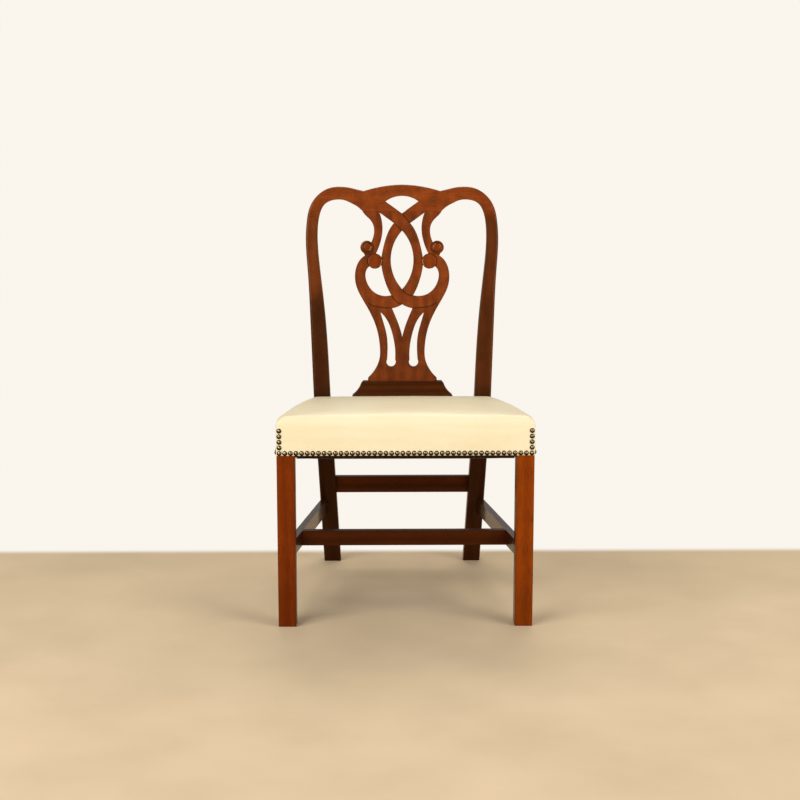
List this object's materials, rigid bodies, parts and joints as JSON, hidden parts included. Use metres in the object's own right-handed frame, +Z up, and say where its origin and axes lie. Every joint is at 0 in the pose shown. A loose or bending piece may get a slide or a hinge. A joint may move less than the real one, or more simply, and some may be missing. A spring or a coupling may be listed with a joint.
{
  "type": "side chair",
  "caption": "Mahogany side chair with a pierced, interlaced splat, looped crest rail, straight front legs and a leather seat stuffed over the rails and edged with brass nails.",
  "frame": {"origin": "on the floor, under the middle of the chair's bounding box", "axes": "+X to the right of someone facing the chair, +Y from front to back, +Z up"},
  "size_m": [0.5514, 0.5724, 0.9232],
  "materials": {
    "mahogany": "semi-gloss reddish-brown polish",
    "leather": "smooth cream leather, satin",
    "antique_brass": "darkened, worn bright on top",
    "stuffing": "matt",
    "webbing": "matt woven jute",
    "hessian": "matt coarse weave",
    "black_cloth": "matt",
    "steel": "dull"
  },
  "bodies": {
    "root": {"front_leg_right": "mahogany", "front_leg_left": "mahogany", "back_post_right": "mahogany", "back_post_left": "mahogany", "crest_rail": "mahogany", "splat": "mahogany", "splat_shoe": "mahogany", "front_seat_rail": "mahogany", "rear_seat_rail": "mahogany", "side_seat_rail_right": "mahogany", "side_seat_rail_left": "mahogany", "front_corner_block_right": "mahogany", "front_corner_block_left": "mahogany", "rear_corner_block_right": "mahogany", "rear_corner_block_left": "mahogany", "side_stretcher_right": "mahogany", "side_stretcher_left": "mahogany", "medial_stretcher": "mahogany", "rear_stretcher": "mahogany", "corner_block_screws": "steel", "dust_cover_tacks": "steel", "hessian": "hessian", "seat_pad": "stuffing", "leather_cover": "leather", "dust_cover": "black_cloth", "front_row_nails": "antique_brass", "corner_nails_right": "antique_brass", "corner_nails_left": "antique_brass", "side_nails_right": "antique_brass", "side_nails_left": "antique_brass", "webbing_lengthwise_1": "webbing", "webbing_crosswise_1": "webbing", "webbing_lengthwise_2": "webbing", "webbing_crosswise_2": "webbing", "webbing_lengthwise_3": "webbing", "webbing_crosswise_3": "webbing", "webbing_lengthwise_4": "webbing", "webbing_crosswise_4": "webbing"}
  },
  "joints": []
}
